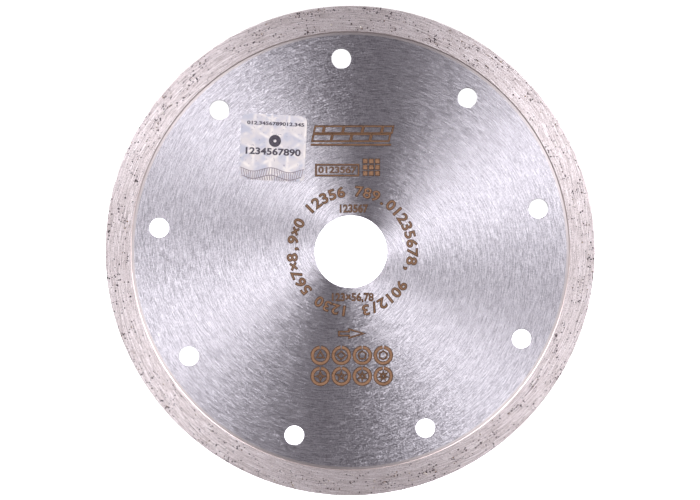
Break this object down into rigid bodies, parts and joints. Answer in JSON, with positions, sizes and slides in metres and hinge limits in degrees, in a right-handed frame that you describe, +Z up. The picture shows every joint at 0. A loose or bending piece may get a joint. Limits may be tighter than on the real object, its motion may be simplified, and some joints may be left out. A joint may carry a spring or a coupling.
{
  "type": "diamond blade",
  "caption": "Thin continuous-rim diamond cutting blade: ventilated steel disc core with a sintered diamond rim and a plain spindle bore.",
  "frame": {"origin": "on the spin axis at the middle of the bore, halfway through the blade's thickness", "axes": "+Y along the spin axis, into the blade from its printed face; +Z up as the marks read; +X to the right seen from the printed face"},
  "size_m": [0.1501, 0.0018, 0.1502],
  "materials": {
    "core_steel": "ground round and round, slightly swirled",
    "backing_bond": "smooth sintered bronze bond, no grit",
    "diamond_bond": "dressed sintered bond, scratched and pitted",
    "diamond_grain": "small blunt crystals, dark to amber",
    "label_film": "silvery security film with a fine printed lattice",
    "label_adhesive": "clear adhesive"
  },
  "bodies": {
    "root": {"steel_core": "core_steel", "backing_ring": "backing_bond", "diamond_rim": "diamond_bond", "diamonds_front": "diamond_grain", "diamonds_back": "diamond_grain", "diamonds_edge": "diamond_grain", "label_film": "label_film", "label_adhesive": "label_adhesive"}
  },
  "joints": []
}
